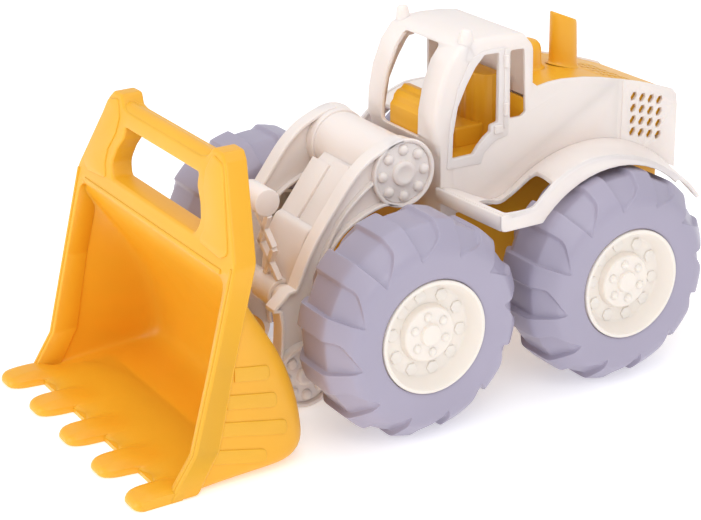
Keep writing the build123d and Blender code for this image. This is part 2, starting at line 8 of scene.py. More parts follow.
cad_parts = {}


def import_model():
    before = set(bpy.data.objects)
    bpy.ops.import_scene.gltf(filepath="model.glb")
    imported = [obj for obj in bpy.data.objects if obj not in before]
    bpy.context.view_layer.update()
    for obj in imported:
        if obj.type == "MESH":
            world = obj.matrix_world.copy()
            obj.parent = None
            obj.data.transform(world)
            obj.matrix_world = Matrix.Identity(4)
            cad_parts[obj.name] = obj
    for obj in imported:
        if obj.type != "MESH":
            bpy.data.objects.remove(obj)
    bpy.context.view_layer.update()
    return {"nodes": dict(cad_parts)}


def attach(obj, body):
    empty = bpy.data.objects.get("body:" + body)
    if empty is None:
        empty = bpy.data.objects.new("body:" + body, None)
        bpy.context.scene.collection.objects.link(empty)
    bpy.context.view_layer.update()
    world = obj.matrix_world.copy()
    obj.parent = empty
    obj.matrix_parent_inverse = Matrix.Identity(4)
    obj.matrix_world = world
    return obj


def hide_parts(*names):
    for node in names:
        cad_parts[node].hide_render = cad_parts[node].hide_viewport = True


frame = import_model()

# A chunky moulded toy front loader. All shapes below are given in millimetres in the
# CAD frame (+X to the bucket, +Y to the loader's left, +Z up) and scaled to metres here.
MM = 0.001

AXLE_Z = 75.0
FRONT_AXLE = (32.0, AXLE_Z)
REAR_AXLE = (-127.0, AXLE_Z)
WHEEL_MID_Y = 101.5
BODY_HALF = 44.0
BOOM_PIVOT = (1.0, 155.0)
BUCKET_PIVOT = (80.0, 28.0)
BORE_RADIUS = 3.1
SIDES = (("left", 1), ("right", -1))


# ---- materials ----
def principled(name):
    """A new material with its node tree and shader."""
    material = bpy.data.materials.new(name)
    material.use_nodes = True
    tree = material.node_tree
    return material, tree, tree.nodes["Principled BSDF"]


def noise(tree, scale, detail):
    """A cloudy pattern fixed to the piece."""
    place = tree.nodes.new("ShaderNodeTexCoord")
    pattern = tree.nodes.new("ShaderNodeTexNoise")
    pattern.inputs["Scale"].default_value = scale
    pattern.inputs["Detail"].default_value = detail
    tree.links.new(place.outputs["Object"], pattern.inputs["Vector"])
    return pattern.outputs["Fac"]


def uneven_gloss(tree, shader, pattern, pattern_range, roughness_range):
    """Lets a pattern move the shader's roughness within a range."""
    gloss = tree.nodes.new("ShaderNodeMapRange")
    gloss.inputs["From Min"].default_value, gloss.inputs["From Max"].default_value = pattern_range
    gloss.inputs["To Min"].default_value, gloss.inputs["To Max"].default_value = roughness_range
    tree.links.new(pattern, gloss.inputs["Value"])
    tree.links.new(gloss.outputs["Result"], shader.inputs["Roughness"])


def plastic(name, color, roughness, glow, grain=0.05):
    """Satin moulded plastic: faint cloudy colour, a fine grain in its gloss, and a little light inside."""
    material, tree, shader = principled(name)
    tint = 0.03
    shades = tree.nodes.new("ShaderNodeValToRGB")
    shades.color_ramp.elements[0].position = 0.3
    shades.color_ramp.elements[1].position = 0.7
    shades.color_ramp.elements[0].color = (*(c * (1 - tint) for c in color), 1)
    shades.color_ramp.elements[1].color = (*(min(1.0, c * (1 + tint)) for c in color), 1)
    tree.links.new(noise(tree, 14.0, 3.0), shades.inputs["Fac"])
    tree.links.new(shades.outputs["Color"], shader.inputs["Base Color"])

    uneven_gloss(tree, shader, noise(tree, 60.0, 5.0), (0.3, 0.7), (roughness - 0.02, roughness + 0.03))

    bump = tree.nodes.new("ShaderNodeBump")
    bump.inputs["Strength"].default_value = grain
    bump.inputs["Distance"].default_value = 0.0003
    tree.links.new(noise(tree, 900.0, 2.0), bump.inputs["Height"])
    tree.links.new(bump.outputs["Normal"], shader.inputs["Normal"])

    shader.inputs["Subsurface Weight"].default_value = glow
    shader.inputs["Subsurface Radius"].default_value = (0.004, 0.003, 0.002)
    shader.inputs["Subsurface Scale"].default_value = 1.0
    shader.inputs["IOR"].default_value = 1.46
    return material


def steel(name):
    material, tree, shader = principled(name)
    uneven_gloss(tree, shader, noise(tree, 400.0, 2.0), (0.0, 1.0), (0.25, 0.5))
    shader.inputs["Base Color"].default_value = (0.55, 0.55, 0.56, 1)
    shader.inputs["Metallic"].default_value = 1.0
    return material


CREAM = plastic("cream_plastic", (0.88, 0.795, 0.745), 0.36, glow=0.2)
RIM_CREAM = plastic("rim_plastic", (0.85, 0.78, 0.705), 0.38, glow=0.2)
YELLOW = plastic("yellow_plastic", (0.85, 0.425, 0.022), 0.36, glow=0.15)
TYRE = plastic("tyre_plastic", (0.385, 0.35, 0.445), 0.32, glow=0.08, grain=0.02)
STEEL = steel("hidden_steel")


# ---- outlines: lists of flat points ----
def polar(centre, radius, degrees):
    angle = math.radians(degrees)
    return (centre[0] + radius * math.cos(angle), centre[1] + radius * math.sin(angle))


def arc(centre, radius, start, end, steps):
    """Points on a circle from one angle to another, in degrees."""
    return [polar(centre, radius, start + (end - start) * k / steps) for k in range(steps + 1)]


def circle(centre, radius, steps=32):
    return arc(centre, radius, 0, 360, steps)[:-1]


def rounded(points, radius, steps=4):
    """The closed outline with its corners turned into arcs. radius is one number or one per corner."""
    count = len(points)
    radii = radius if isinstance(radius, (list, tuple)) else [radius] * count
    outline = []
    for i, corner in enumerate(points):
        here = Vector(corner)
        before = Vector(points[i - 1]) - here
        after = Vector(points[(i + 1) % count]) - here
        angle = before.angle(after)
        if radii[i] <= 0 or angle > math.radians(176):
            outline.append(tuple(here))
            continue
        reach = radii[i] / math.tan(angle / 2)
        reach = min(reach, 0.49 * before.length, 0.49 * after.length)
        start = here + before.normalized() * reach
        end = here + after.normalized() * reach
        for k in range(steps + 1):
            t = k / steps
            outline.append(tuple(start * (1 - t) ** 2 + here * 2 * t * (1 - t) + end * t**2))
    return outline


def mirror_outline(half):
    """A closed outline from its left half, which runs from the bottom to the top."""
    return half + [(-y, z) for y, z in reversed(half)]


def flow(points, steps=5):
    """A smooth open path through the points."""
    ends = [points[0], *points, points[-1]]
    path = []
    for before, start, end, after in zip(ends, ends[1:], ends[2:], ends[3:]):
        for k in range(steps):
            t = k / steps
            place = []
            for a, b, c, d in zip(before, start, end, after):
                bend = 2 * a - 5 * b + 4 * c - d
                twist = 3 * b - a - 3 * c + d
                place.append(0.5 * (2 * b + (c - a) * t + bend * t**2 + twist * t**3))
            path.append(tuple(place))
    return [*path, tuple(points[-1])]


def along_path(points, count):
    """Evenly spaced points along an open path."""
    lengths = [0.0]
    for a, b in zip(points, points[1:]):
        lengths.append(lengths[-1] + math.dist(a, b))
    even = []
    for k in range(count):
        want = lengths[-1] * k / (count - 1)
        i = max(j for j in range(len(points) - 1) if lengths[j] <= want + 1e-9)
        t = (want - lengths[i]) / (lengths[i + 1] - lengths[i])
        even.append(tuple(a + (b - a) * t for a, b in zip(points[i], points[i + 1])))
    return even


def direction_at(path, index):
    """The open path's direction at one of its points."""
    before = Vector(path[max(index - 1, 0)])
    after = Vector(path[min(index + 1, len(path) - 1)])
    return (after - before).normalized()


def shifted(path, distance):
    """The open path moved sideways, to its right for a positive distance."""
    moved = []
    for i, (x, y) in enumerate(path):
        along = direction_at(path, i)
        moved.append((x + along.y * distance, y - along.x * distance))
    return moved


def ribbon(path, thickness):
    """A closed outline of even thickness along an open path. Positive thickness lies to its right."""
    return [*path, *shifted(path, thickness)[::-1]]


def span(side, near, far):
    """Two distances from the middle as (low, high) on this side of the loader."""
    return sorted((side * near, side * far))


def ease(low, high, value):
    """0 below low, 1 above high, and a smooth step between."""
    t = min(1.0, max(0.0, (value - low) / (high - low)))
    return t * t * (3 - 2 * t)


# ---- mesh helpers ----
@contextmanager
def opened(mesh):
    """The mesh open for editing, written back at the end."""
    work = bmesh.new()
    work.from_mesh(mesh)
    yield work
    work.to_mesh(mesh)
    work.free()


def turn_outward(mesh, weld=0.0):
    """Turns the faces outward, after joining points that lie closer than the weld distance."""
    with opened(mesh) as work:
        if weld > 0:
            bmesh.ops.remove_doubles(work, verts=work.verts, dist=weld)
        bmesh.ops.recalc_face_normals(work, faces=work.faces)


def link(name, mesh, material):
    mesh.name = name
    obj = bpy.data.objects.new(name, mesh)
    bpy.context.scene.collection.objects.link(obj)
    mesh.materials.clear()
    mesh.materials.append(material)
    return obj


def mesh_piece(name, points, faces, material):
    """A mesh object from points in millimetres."""
    mesh = bpy.data.meshes.new(name)
    mesh.from_pydata([Vector(p) * MM for p in points], [], faces)
    mesh.validate()
    turn_outward(mesh)
    return link(name, mesh, material)


def settle(obj):
    """Applies the modifiers so far."""
    bpy.context.view_layer.update()
    evaluated = obj.evaluated_get(bpy.context.evaluated_depsgraph_get())
    mesh = bpy.data.meshes.new_from_object(evaluated)
    obj.modifiers.clear()
    old = obj.data
    obj.data = mesh
    bpy.data.meshes.remove(old)
    return obj


def smooth(obj, degrees=38):
    obj.data.shade_smooth()
    obj.data.set_sharp_from_angle(angle=math.radians(degrees))
    return obj


def soften(obj, width, degrees):
    """Rounds the edges that turn more than this, as a mould does."""
    bevel = obj.modifiers.new("edges", "BEVEL")
    bevel.width = width * MM
    bevel.segments = 2
    bevel.limit_method = "ANGLE"
    bevel.angle_limit = math.radians(degrees)
    bevel.harden_normals = True
    bevel.use_clamp_overlap = True
    obj.data.shade_smooth()
    return settle(obj)


def subdivide(obj, levels):
    surface = obj.modifiers.new("surface", "SUBSURF")
    surface.levels = levels
    surface.render_levels = levels
    settle(obj)
    obj.data.shade_smooth()
    return obj


def thicken(obj, thickness):
    """Gives an open sheet its thickness, behind its faces."""
    shell = obj.modifiers.new("shell", "SOLIDIFY")
    shell.thickness = thickness * MM
    shell.offset = -1.0
    shell.use_even_offset = True
    return settle(obj)


def face_towards(obj, direction):
    """Turns an open sheet so that most of it faces this way."""
    bpy.context.view_layer.update()
    facing = sum(face.normal.dot(Vector(direction)) for face in obj.data.polygons)
    if facing < 0:
        obj.data.flip_normals()
    return obj


def cut(obj, tools):
    """Cuts the tools from the piece and removes them."""
    for tool in tools:
        step = obj.modifiers.new("step", "BOOLEAN")
        step.operation = "DIFFERENCE"
        step.solver = "EXACT"
        step.object = tool
        settle(obj)
        bpy.data.objects.remove(tool)
    return obj


def join(obj, others):
    """Puts other pieces' meshes into this one."""
    with opened(obj.data) as work:
        for other in others:
            work.from_mesh(other.data)
            bpy.data.objects.remove(other)
    return obj


def slice_at(obj, places, direction):
    """Adds edge rings at these places along a direction so the piece can bend there."""
    with opened(obj.data) as work:
        for place in places:
            geometry = [*work.verts, *work.edges, *work.faces]
            middle = Vector(direction) * (place * MM)
            bmesh.ops.bisect_plane(work, geom=geometry, plane_co=middle, plane_no=direction)
    return obj


SIDE = Matrix(((1, 0, 0), (0, 0, 1), (0, 1, 0))).to_4x4()  # sketch x, y, depth become X, Z, Y
FRONT = Matrix(((0, 0, 1), (1, 0, 0), (0, 1, 0))).to_4x4()  # sketch x, y, depth become Y, Z, X
TOP = Matrix.Identity(4)  # sketch x, y, depth are X, Y, Z


def plate(name, outline, low, high, plane, material, edge=0.6, holes=(), steps=2):
    """A flat moulded plate from an outline with holes, between two depths, with rounded edges."""
    curve = bpy.data.curves.new(name, "CURVE")
    curve.dimensions = "2D"
    curve.fill_mode = "BOTH"
    for points in (outline, *holes):
        spline = curve.splines.new("POLY")
        spline.points.add(len(points) - 1)
        for point, (x, y) in zip(spline.points, points):
            point.co = (x * MM, y * MM, 0, 1)
        spline.use_cyclic_u = True
    curve.extrude = ((high - low) / 2 - edge) * MM
    curve.bevel_depth = edge * MM
    curve.bevel_resolution = steps
    curve.offset = -edge * MM
    shape = bpy.data.objects.new(name, curve)
    bpy.context.scene.collection.objects.link(shape)
    bpy.context.view_layer.update()
    mesh = bpy.data.meshes.new_from_object(shape.evaluated_get(bpy.context.evaluated_depsgraph_get()))
    bpy.data.objects.remove(shape)
    bpy.data.curves.remove(curve)
    mesh.transform(plane @ Matrix.Translation((0, 0, (low + high) / 2 * MM)))
    turn_outward(mesh, weld=1e-6)
    return smooth(link(name, mesh, material))


def solid(name, outline, low, high, plane, material):
    """A plain prism, used where edges are rounded later or as a cutting tool."""
    count = len(outline)
    points = [(x, y, low) for x, y in outline] + [(x, y, high) for x, y in outline]
    faces = [list(range(count)), list(range(2 * count - 1, count - 1, -1))]
    faces += [(i, (i + 1) % count, (i + 1) % count + count, i + count) for i in range(count)]
    obj = mesh_piece(name, points, faces, material)
    obj.data.transform(plane)
    turn_outward(obj.data)
    return obj


def grid(name, rows, material, closed_rows=False, closed_columns=False):
    """A surface through rows of points."""
    across = len(rows[0])
    points = [p for row in rows for p in row]
    faces = []
    for i in range(len(rows) if closed_rows else len(rows) - 1):
        for j in range(across if closed_columns else across - 1):
            below = (i + 1) % len(rows)
            right = (j + 1) % across
            here, under = i * across, below * across
            faces.append((here + j, here + right, under + right, under + j))
    return mesh_piece(name, points, faces, material)


def fill_ends(obj):
    """Closes a tube's open ends."""
    with opened(obj.data) as work:
        bmesh.ops.holes_fill(work, edges=work.edges, sides=0)
    turn_outward(obj.data)
    return obj


def lathe(name, profile, centre, axis, material, segments=96):
    """Turns (distance along the axis, radius) about an axis. Zero radii close to a point."""
    axis = Vector(axis).normalized()
    side = axis.orthogonal().normalized()
    up = axis.cross(side)
    rows = []
    for along, radius in profile:
        ring = []
        for k in range(segments):
            angle = 2 * math.pi * k / segments
            spoke = side * math.cos(angle) + up * math.sin(angle)
            ring.append(Vector(centre) + axis * along + spoke * max(radius, 0.001))
        rows.append(ring)
    obj = grid(name, rows, material, closed_columns=True)
    turn_outward(obj.data, weld=2e-6)
    return smooth(obj)


def centred(name, profile, centre, side, material, segments=96):
    """Turns a profile of (distance from the middle plane, radius) about a side-to-side axis."""
    return lathe(name, profile, (centre[0], 0, centre[1]), (0, side, 0), material, segments)


def dome(name, centre, radius, height, axis, material):
    """A low rounded stud, sunk a little into the face it stands on."""
    steps = 6
    foot = radius * 1.06
    profile = [(-0.8, foot), (0.0, foot), (height * 0.18, radius)]
    for k in range(1, steps + 1):
        angle = math.pi / 2 * k / steps
        profile.append((height * (0.18 + 0.82 * math.sin(angle)), radius * math.cos(angle)))
    return lathe(name, profile, centre, axis, material, 24)


def finish_piece(obj, name, body, node):
    """Names a piece, lets it ride on its body and puts it in its CAD node's place."""
    obj.name = name
    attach(obj, body)
    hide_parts(node)


# ---- wheels ----
LUGS = 12
LUG_PITCH = 360.0 / LUGS
LUG_COLUMNS = 12
GROOVE_TIP = 19.2
GROOVE_START = -0.9
GROOVE_SPAN = 17.5
TIP_RADIUS = 55.3
BEAD_RADIUS = 38.7
RIM_BOLTS = 10
CAP_STUDS = 6
CAP_FACE = 26.0
# From one edge to the middle: (distance from the wheel's middle plane, radius, groove depth).
TREAD = [
    (29.6, BEAD_RADIUS, 0.0), (31.0, 38.9, 0.0), (31.7, 40.5, 0.0), (32.1, 44.0, 0.0),
    (32.4, 49.0, 0.0), (32.5, 53.0, 0.0), (32.45, 54.9, 0.0), (32.35, 55.9, 1.1),
    (31.9, 58.6, 1.8), (30.9, 61.2, 2.5), (28.6, 63.9, 3.1), (25.0, 67.1, 3.5),
    (20.5, 71.0, 3.8), (17.2, 73.6, 4.0), (14.6, 74.8, 4.0), (9.0, 75.0, 4.0),
    (0.0, 75.0, 4.0),
]


def groove_columns(radius, depth):
    """The columns of one lug and its groove at this radius: (angle, share of the groove's depth)."""
    climb = min(1.0, max(0.0, (radius - TIP_RADIUS) / 11.5))
    reach = 1.2 + (GROOVE_SPAN - 1.2) * climb**0.9
    columns = [
        (GROOVE_START, 0.0),
        (-0.2, 0.0),
        (-0.05, 0.15),
        (0.2, 1.0),
        (0.8, 1.0),
        (reach * 0.5, 0.9),
        (reach - 1.7, 0.8),
        (reach - 0.8, 0.75),
        (reach + 0.5, 0.06),
        (reach + 1.0, 0.0),
        (reach + 1.8, 0.0),
        ((reach + LUG_PITCH - 1.3) / 2, 0.0),
    ]
    if depth > 0:
        return columns
    spread = min(1.0, max(0.0, (TIP_RADIUS - radius) / 12.0))
    even = [GROOVE_START + k * LUG_PITCH / LUG_COLUMNS for k in range(LUG_COLUMNS)]
    return [(turn * (1 - spread) + spread * place, 0.0) for (turn, _), place in zip(columns, even)]


def tyre(name, axle_x, side):
    """Rings of points round the wheel, pushed inward where a groove passes, and a plain inner face."""

    def spot(across, radius, turn):
        x, z = polar((axle_x, AXLE_Z), radius, GROOVE_TIP + turn)
        return (x, side * (WHEEL_MID_Y + across), z)

    sections = TREAD + [(-across, radius, depth) for across, radius, depth in TREAD[-2::-1]]
    line = [section[:2] for section in sections]
    rows = []
    for index, (across, radius, depth) in enumerate(sections):
        along = direction_at(line, index)
        inward = Vector((along.y, -along.x))
        if inward.y > 0 or (inward.y == 0 and inward.x * across > 0):
            inward = -inward
        ring = []
        for lug in range(LUGS):
            for turn, low in groove_columns(radius, depth):
                place = Vector((across, radius)) + inward * depth * low
                ring.append(spot(place.x, place.y, lug * LUG_PITCH + turn))
        rows.append(ring)
    columns = LUGS * LUG_COLUMNS
    for across in (-30.0, 0.0, 29.0):
        rows.append([spot(across, BEAD_RADIUS, GROOVE_START + k * 360.0 / columns) for k in range(columns)])
    obj = grid(name, rows, TYRE, closed_rows=True, closed_columns=True)
    return subdivide(obj, 2)


def rim(name, axle_x, side):
    """The dished rim with its bored hub tube, nut pocket and ring of hexagons."""
    profile = [
        (-31.5, 38.5), (30.0, 38.5), (32.0, 38.4), (32.4, 38.0), (32.5, 37.0), (32.4, 36.2),
        (31.9, 35.8), (22.6, 31.6), (21.6, 31.0), (21.1, 30.2), (21.0, 29.4), (21.0, 7.0),
        (15.6, 7.0), (15.6, BORE_RADIUS), (-33.4, BORE_RADIUS), (-33.4, 7.6), (-33.0, 8.0),
        (17.0, 8.0), (18.5, 9.5), (18.5, 34.5), (17.0, 36.0), (-31.0, 36.2), (-31.5, 36.7),
        (-31.5, 38.5),
    ]
    obj = lathe(name, profile, (axle_x, side * WHEEL_MID_Y, AXLE_Z), (0, side, 0), RIM_CREAM, 128)
    bolts = []
    for k in range(RIM_BOLTS):
        middle = polar((axle_x, AXLE_Z), 26.0, k * 360 / RIM_BOLTS + 8)
        hexagon = rounded(circle(middle, 4.5, 6), 0.8, 2)
        low, high = span(side, WHEEL_MID_Y + 20.0, WHEEL_MID_Y + 22.1)
        bolts.append(plate("bolt", hexagon, low, high, SIDE, RIM_CREAM, edge=0.5))
    return join(obj, bolts)


def hub_cap(name, axle_x, side):
    """The raised cap in the middle of a rim, with its studs and boss."""
    axis = (0, side, 0)
    profile = [
        (20.6, 20.0), (21.3, 19.7), (24.6, 18.9), (25.5, 18.5), (25.95, 17.8),
        (CAP_FACE, 17.0), (CAP_FACE, 8.2), (26.1, 7.6), (27.6, 7.1), (28.2, 6.7), (28.4, 6.0),
        (28.4, 0.0),
    ]
    obj = lathe(name, profile, (axle_x, side * WHEEL_MID_Y, AXLE_Z), axis, RIM_CREAM)
    studs = []
    for k in range(CAP_STUDS):
        x, z = polar((axle_x, AXLE_Z), 12.6, k * 360 / CAP_STUDS + 22)
        studs.append(dome("stud", (x, side * (WHEEL_MID_Y + CAP_FACE), z), 2.8, 2.3, axis, RIM_CREAM))
    return join(obj, studs)


for end, (axle_x, _) in (("front", FRONT_AXLE), ("rear", REAR_AXLE)):
    for side_name, side in SIDES:
        corner = f"{end}_{side_name}"
        for make, looks, node, slot in (
            (tyre, "lugged_tyre", "tyre", "tyre"),
            (rim, "dished_rim", "rim", "rim"),
            (hub_cap, "studded_cap", "hub_cap", "rim"),
        ):
            name = f"{looks}_{corner}"
            finish_piece(make(name, axle_x, side), name, "wheel_" + corner, f"{node}_{corner}")


# ---- bucket ----
RIM_LINE = [(213.0, 3.0), (196.0, 28.0), (181.0, 83.0), (164.0, 147.0), (150.0, 206.0)]
RIM_BENDS = [z for _, z in RIM_LINE[1:-1]]
RIM_DEPTH = 16.0
TEETH = 5
TOOTH_PITCH = 51.3
EDGE_HALF = 113
# The scoop's rows, from the top of its back to the digging edge: where the row runs along the
# back or floor (x, z), its half width there, and the height at which it meets the rim.
BOWL = [
    (164.0, 138.5, 101.0, 141.0), (160.0, 124.0, 100.0, 132.0), (149.0, 108.0, 99.0, 120.0),
    (136.5, 90.0, 99.0, 106.0), (125.8, 72.0, 99.5, 92.0), (119.0, 56.0, 100.5, 78.0),
    (114.8, 40.0, 102.0, 64.0), (113.2, 25.0, 104.5, 50.0), (113.6, 10.5, 107.5, 38.0),
    (124.5, 4.6, 110.0, 28.0), (148.0, 4.6, 109.0, 20.0), (174.0, 4.2, 108.0, 13.0),
    (196.0, 3.4, 107.0, 8.0), (213.0, 3.1, 107.0, 3.2),
]


def rim_x(z):
    """How far forward the bucket's rim stands at this height."""
    for (x0, z0), (x1, z1) in zip(RIM_LINE, RIM_LINE[1:]):
        if z <= z1:
            break
    return x0 + (x1 - x0) * (z - z0) / (z1 - z0)


def lean(obj):
    """Sets a plate made across the loader against the rim line. A deep one grows deeper at its foot."""
    for vertex in obj.data.vertices:
        z = vertex.co.z / MM
        if vertex.co.x < -2 * MM:
            vertex.co.x *= 1.3 - 0.3 * ease(0, 60, z)
        vertex.co.x += rim_x(z) * MM
    obj.data.update()
    return obj


def drape(obj, target, side):
    """Lays a thin side plate, made at y = 0, on the outside of another piece."""
    outside = 400 * MM
    for vertex in obj.data.vertices:
        start = Vector((vertex.co.x, side * outside, vertex.co.z))
        hit, place, _, _ = target.ray_cast(start, Vector((0, -side, 0)))
        if hit:
            vertex.co.y = place.y + side * vertex.co.y
    obj.data.update()
    return obj


def bucket_bowl():
    """The scoop: a back and floor that curve into leaning sides."""
    rows = []
    for x, z, half, edge_z in BOWL:
        edge = Vector((rim_x(edge_z) - 1.5, 110.2, edge_z))
        lip = Vector((rim_x(edge_z) - RIM_DEPTH, 109.0, edge_z))
        corner = Vector((x, half, z))
        if lip.x < corner.x:
            lip = edge.lerp(corner, 0.4)
        wall = lip.lerp(corner, 0.55)
        near_corner = lip.lerp(corner, 0.9)
        flat = [Vector((x, y, z)) for y in (half - 9, 50, 0)]
        half_row = [edge, lip, wall, near_corner, *flat]
        rows.append([Vector((p.x, -p.y, p.z)) for p in half_row] + half_row[-2::-1])
    obj = face_towards(grid("bowl", rows, YELLOW), (1, 0, 0))
    subdivide(obj, 2)
    thicken(obj, 3.0)
    return smooth(obj, 50)


def bucket_frame():
    """The rim round the mouth and the handle frame above it, with the grip slot."""
    half = [(113.6, 0.8), (114.0, 28.0), (115.5, 83.0), (116.0, 146.0), (84.0, 201.0), (78.5, 205.8)]
    half += [(66.0, 206.0), (60.5, 199.5), (53.0, 198.0)]
    radii = [0, 8, 30, 14, 5, 4, 5, 3, 0]
    outline = rounded(mirror_outline(half), radii + radii[::-1])
    slot = mirror_outline([(61.0, 151.3), (66.0, 160.0), (61.5, 170.5), (54.0, 179.5), (53.6, 187.0)])
    holes = [rounded(slot, [6, 8, 8, 8, 2, 2, 8, 8, 8, 6], 6)]
    obj = plate("frame", outline, -RIM_DEPTH, 0, FRONT, YELLOW, edge=2.0, holes=holes, steps=4)
    mouth = mirror_outline([(106.5, -4.0), (107.0, 28.0), (108.0, 83.0), (107.5, 136.5)])
    mouth = rounded(mouth, [0, 25, 25, 9, 9, 25, 25, 0], 5)
    cut(obj, [solid("mouth", mouth, -RIM_DEPTH - 5, 5, FRONT, YELLOW)])
    soften(obj, 0.9, 50)
    slice_at(obj, RIM_BENDS, (0, 0, 1))
    return smooth(lean(obj), 35)


def grip_bar():
    """The rounded bar above the slot, set between the frame's two corner blocks."""
    height = 193.4
    centre = Vector((rim_x(height) - 7.4, 0, height))
    bar = lathe("grip", [(-62, 0), (-62, 8.2), (62, 8.2), (62, 0)], (0, 0, 0), (0, 1, 0), YELLOW, 48)
    for vertex in bar.data.vertices:
        vertex.co = Vector((vertex.co.x * 0.80, vertex.co.y, vertex.co.z)) + centre * MM
    bar.data.update()
    return bar


def digging_edge():
    """The floor's front: rounded fingers that flow back into the floor, with scalloped valleys."""
    valley = 213.5
    reach = 23.3
    half_tooth = 13.8
    nose = 4.5
    underside = 0.3
    columns = []
    for y in range(-EDGE_HALF, EDGE_HALF + 1):
        near = min(abs(y - (tooth - (TEETH - 1) / 2) * TOOTH_PITCH) for tooth in range(TEETH))
        finger = max(0.0, 1 - (near / half_tooth) ** 4) ** 0.4
        dip = ease(half_tooth - 2, TOOTH_PITCH / 2, near)
        edge = valley - 2.0 * dip + (reach + 2.0 * dip) * finger
        crown = 1 - ease(5.0, 17.5, near)
        start = 156.0 + 49.0 * ease(95, 106, abs(y))
        column = []
        for step in range(13):
            x = start + (edge - nose - start) * step / 12
            lift = 4.42 + 4.2 * crown * ease(188, 216, x)
            lift -= 1.4 * dip * ease(196, 212, x) + 2.0 * crown * ease(222, 236, x)
            column.append((x, y, lift))
        top = column[-1][2]
        for degrees in (25, 50, 75, 90):
            turn = math.radians(degrees)
            column.append((edge - nose * (1 - math.sin(turn)), y, 1.8 + (top - 1.8) * math.cos(turn)))
        column += [(edge - 0.6, y, 0.9), (edge - 2.4, y, underside), (start, y, underside)]
        columns.append(column)
    lip = grid("lip", columns, YELLOW, closed_columns=True)
    return smooth(fill_ends(lip), 45)


def handle_panel(side):
    """The raised panel on the handle frame, beside the grip slot."""
    panel = [(107, 151), (83, 200), (69, 203), (63, 192), (65, 180.5), (73, 168), (74, 158)]
    panel += [(69, 149), (98, 147)]
    outline = rounded([(side * y, z) for y, z in panel], [5, 5, 4, 5, 6, 6, 6, 4, 5])
    return lean(plate("panel", outline, -1.2, 1.1, FRONT, YELLOW, edge=1.0, steps=3))


def rim_bead(side):
    """The fine bead down one side of the rim."""
    line = [(111.6, 6), (112.2, 28), (113.6, 83), (114.2, 145)]
    outline = [(side * y, z) for y, z in line] + [(side * (y - 2.2), z) for y, z in reversed(line)]
    bead = plate("bead", outline, -1.0, 1.0, FRONT, YELLOW, edge=0.8)
    return lean(slice_at(bead, RIM_BENDS, (0, 0, 1)))


def pivot_ear(side):
    """The lug behind the scoop that the pivot rod passes through."""
    outline = arc(BUCKET_PIVOT, 13.0, 100, 270, 14) + [(112.5, 12), (110.5, 26), (112.5, 42), (116.5, 56)]
    bore = circle(BUCKET_PIVOT, BORE_RADIUS)
    return plate("ear", outline, *span(side, 30.6, 37.6), SIDE, YELLOW, edge=0.9, holes=[bore])


def side_pills(side, bowl):
    """The raised pills on the scoop's side, rising forward to just behind the rim."""
    half = 4.9
    pills = []
    for x0, z in ((138, 68), (134, 48.5), (128, 28.5), (145, 13.8)):
        x1 = int(rim_x(z + 8)) - 17
        rise = 0.25 * (x1 - x0)
        corners = [(x0, z - half), (x1, z + rise - half), (x1, z + rise + half), (x0, z + half)]
        pill = plate("pill", rounded(corners, [4.7, 0, 0, 4.7], 5), -0.8, 0.8, SIDE, YELLOW, edge=0.5)
        pills.append(drape(slice_at(pill, range(x0 + 3, x1, 4), (1, 0, 0)), bowl, side))
    return pills


def bucket():
    bowl = bucket_bowl()
    pieces = [bowl, digging_edge(), grip_bar()]
    for _, side in SIDES:
        pieces += [handle_panel(side), rim_bead(side), pivot_ear(side), *side_pills(side, bowl)]
    brow = [(-101, 138.2), (101, 138.2), (101, 141.2), (-101, 141.2)]
    pieces.append(lean(plate("brow", brow, -1.5, 0.9, FRONT, YELLOW, edge=0.8)))
    return join(bucket_frame(), pieces)


finish_piece(bucket(), "scoop_bucket", "bucket", "bucket")


# ---- body shell: cab, engine cover sides, rear fenders ----
WALL = 2.6
BODY_INNER = BODY_HALF - WALL
CAB_FRONT = [
    (-31.5, 112.0), (-31.5, 158.0), (-28.5, 165.5), (-26.5, 170.0), (-27.3, 187.0),
    (-31.0, 204.0), (-38.0, 221.0),
]
ROOF = [
    (-47.0, 232.0), (-56.0, 235.2), (-72.0, 235.8), (-88.0, 235.0), (-101.0, 233.0),
    (-107.0, 226.0), (-107.0, 198.0),
]
HOOD_EDGE = [
    (-112.0, 194.2), (-122.0, 195.7), (-133.0, 196.0), (-152.2, 194.2), (-168.1, 191.2),
    (-185.2, 187.0), (-202.6, 182.4), (-223.5, 175.5), (-231.9, 172.4), (-235.8, 168.0),
    (-237.0, 160.0), (-237.0, 112.0),
]
BODY_FOOT = [
    (-205.0, 130.0), (-156.0, 146.0), (-100.0, 128.0), (-79.0, 116.0), (-44.0, 116.0),
    (-44.0, 112.0),
]
CAB_ROOM = [
    (-34.1, 90.0), (-34.1, 158.0), (-31.2, 166.0), (-29.2, 170.0), (-30.0, 187.0),
    (-33.7, 203.0), (-40.6, 219.8), (-48.6, 229.6), (-57.0, 232.6), (-72.0, 233.2),
    (-88.0, 232.4), (-99.6, 230.5), (-104.4, 225.0), (-104.4, 90.0),
]
ENGINE_ROOM = [
    (-109.6, 188.0), (-109.6, 240.0), (-234.4, 240.0), (-234.4, 90.0), (-104.0, 90.0),
    (-104.0, 188.0),
]
DOOR = [
    (-36.1, 148.5), (-64.6, 147.7), (-66.8, 155.4), (-76.6, 162.4), (-87.0, 164.4),
    (-86.6, 223.1), (-84.0, 227.0), (-66.6, 227.2), (-55.7, 223.6), (-45.0, 203.7),
    (-38.8, 179.7),
]
DOOR_WINDOW = [
    (-40.7, 155.3), (-58.1, 155.5), (-61.7, 160.4), (-67.2, 165.8), (-71.8, 168.9),
    (-72.3, 173.6), (-78.3, 174.9), (-78.5, 223.8), (-66.6, 224.1), (-59.4, 216.8),
    (-52.2, 205.6), (-45.1, 191.2), (-41.5, 172.9),
]
